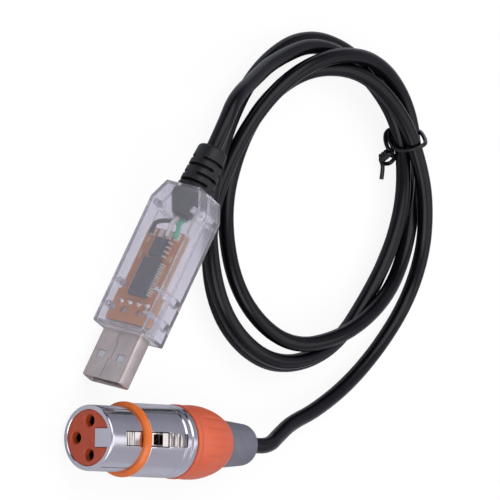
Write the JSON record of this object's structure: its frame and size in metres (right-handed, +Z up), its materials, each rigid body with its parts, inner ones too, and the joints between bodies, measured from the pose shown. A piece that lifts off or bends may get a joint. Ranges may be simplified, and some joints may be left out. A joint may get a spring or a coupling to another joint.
{
  "type": "dmx controller",
  "caption": "USB to DMX lighting interface cable: clear dongle with its circuit board, coiled tied cable and latching XLR plug.",
  "frame": {"origin": "under the middle of the bounding box of the dongle, with its strain relief, on the surface it lies on", "axes": "+Z up from the surface; +X along the dongle towards its USB plug's tip; +Y across the dongle's thickness, towards the coil"},
  "size_m": [0.1452, 0.1069, 0.0223],
  "materials": {
    "clear_case": "polished clear moulding",
    "usb_steel": "folded tinned steel",
    "insulator_white": "moulded",
    "contact_gold": "gold flash",
    "board": "solder mask",
    "chip_black": "moulded",
    "lead_tin": "tinned",
    "capacitor_tan": "ceramic",
    "solder": "bright solder",
    "wire_black": "satin",
    "wire_white": "satin",
    "wire_green": "satin",
    "relief_black": "satin",
    "cable_black": "soft satin",
    "tie_black": "coated wire",
    "plug_chrome": "polished chrome",
    "insert_brown": "moulded",
    "socket_gold": "gold flash",
    "latch_steel": "pressed",
    "spring_steel": "spring temper",
    "ring_orange": "moulded",
    "chuck_white": "moulded",
    "boot_coral": "fine satin moulding",
    "relief_grey": "soft matt"
  },
  "bodies": {
    "base": {"usb_shell": "usb_steel", "usb_insulator": "insulator_white", "usb_contacts": "contact_gold", "case_top": "clear_case", "case_bottom": "clear_case", "circuit_board": "board", "usb_serial_chip": "chip_black", "usb_chip_leads": "lead_tin", "line_driver_chip": "chip_black", "line_driver_leads": "lead_tin", "chip_capacitors": "capacitor_tan", "usb_solder_joints": "solder", "wire_solder_pads": "solder", "wire_black": "wire_black", "wire_white": "wire_white", "wire_green": "wire_green", "strain_relief": "relief_black", "cable_dongle_end": "cable_black", "cable_dongle_lead": "cable_black", "cable_coil": "cable_black", "cable_xlr_lead": "cable_black", "twist_tie": "tie_black", "xlr_housing": "plug_chrome", "xlr_insert": "insert_brown", "xlr_contacts": "socket_gold", "latch_pin": "latch_steel", "latch_spring": "spring_steel", "color_ring": "ring_orange", "cable_chuck": "chuck_white", "cable_xlr_end": "cable_black", "xlr_wires": "wire_white"},
    "latch": {"xlr_latch": "latch_steel"},
    "rear_relief": {"bend_relief": "relief_grey"},
    "rear_boot": {"boot": "boot_coral"}
  },
  "joints": [
    {"name": "latch_press", "type": "hinge", "parent": "base", "child": "latch", "pos_m": [0.03743, 0.02035, 0.0158], "axis": [0.91, 0.4147, 0], "range_deg": [0, 3.5], "stiffness_Nm_per_rad": 0.12, "springref_deg": -1.72, "deforming": ["latch_spring"]},
    {"name": "boot_back", "type": "slide", "parent": "base", "child": "rear_relief", "axis": [-0.4147, 0.91, 0], "range_m": [0, 0.0045]},
    {"name": "boot_turn", "type": "hinge", "parent": "rear_relief", "child": "rear_boot", "pos_m": [0.03204, 0.03218, 0.0092], "axis": [-0.4147, 0.91, 0], "range_deg": [0, 1081]}
  ],
  "couplings": [
    {"joint": "boot_turn", "follows": "boot_back", "rad_per_m": 4188.8}
  ]
}
